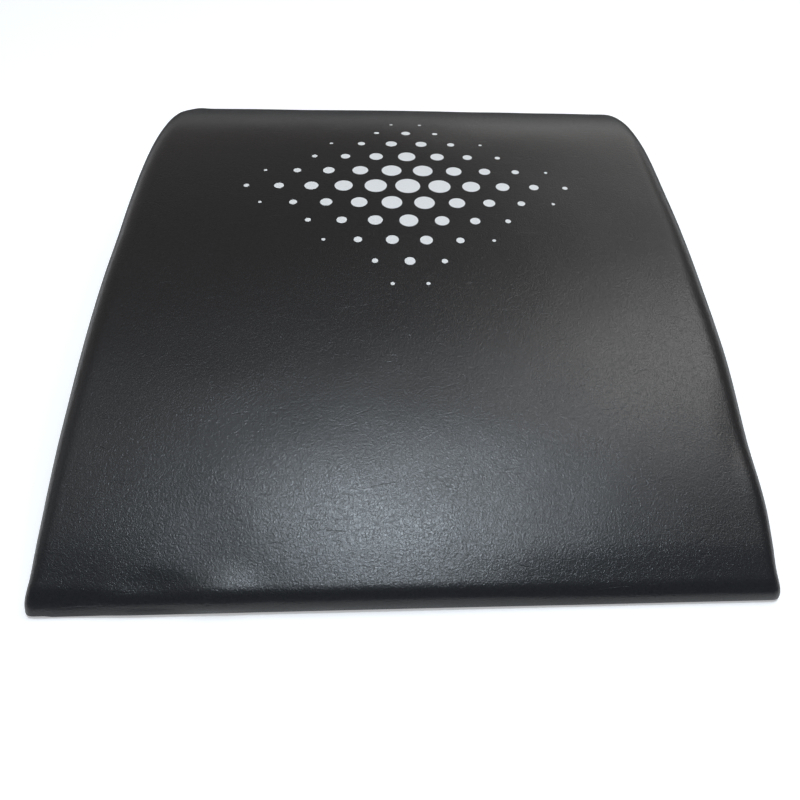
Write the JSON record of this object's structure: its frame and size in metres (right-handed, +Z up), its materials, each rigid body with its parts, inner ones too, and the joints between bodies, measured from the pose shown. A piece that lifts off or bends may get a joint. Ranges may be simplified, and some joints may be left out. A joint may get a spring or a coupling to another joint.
{
  "type": "exercise ab mat",
  "caption": "Arched exercise mat of firm foam in a black grained vinyl cover, with a thin front lip, a raised crown, rounded edges and a zip across its rear wall.",
  "frame": {"origin": "on the floor, at the centre of the underside of the base panel", "axes": "+X across the mat, +Y from the thin front lip to the tall rear wall with the zip, +Z up"},
  "size_m": [0.305, 0.3977, 0.064],
  "materials": {
    "cover_vinyl": "fine leather grain, semi-matt black vinyl",
    "base_sheet": "matt black non-slip sheet with a fine dotted texture",
    "foam": "matt open-cell foam",
    "zip_tape": "woven polyester tape",
    "zip_teeth": "moulded, satin",
    "zip_slider_metal": "black, satin"
  },
  "bodies": {
    "mat": {"cover_upper": "cover_vinyl", "base_panel": "base_sheet", "foam_core": "foam", "zip_tape_upper": "zip_tape", "zip_tape_lower": "zip_tape", "zip_teeth_upper": "zip_teeth", "zip_teeth_lower": "zip_teeth", "zip_stop_upper": "zip_teeth", "zip_stop_lower": "zip_teeth", "zip_bottom_stop": "zip_teeth"},
    "slider": {"zip_slider": "zip_slider_metal"},
    "pull": {"zip_pull": "zip_slider_metal"}
  },
  "joints": [
    {"name": "zip_slide", "type": "slide", "parent": "mat", "child": "slider", "axis": [1, 0, 0], "range_m": [0, 0.2255], "deforming": ["zip_teeth_upper", "zip_teeth_lower"]},
    {"name": "pull_swing", "type": "hinge", "parent": "slider", "child": "pull", "pos_m": [-0.1137, 0.1989, 0.012], "axis": [0, 0, 1], "range_deg": [0, 170]}
  ]
}
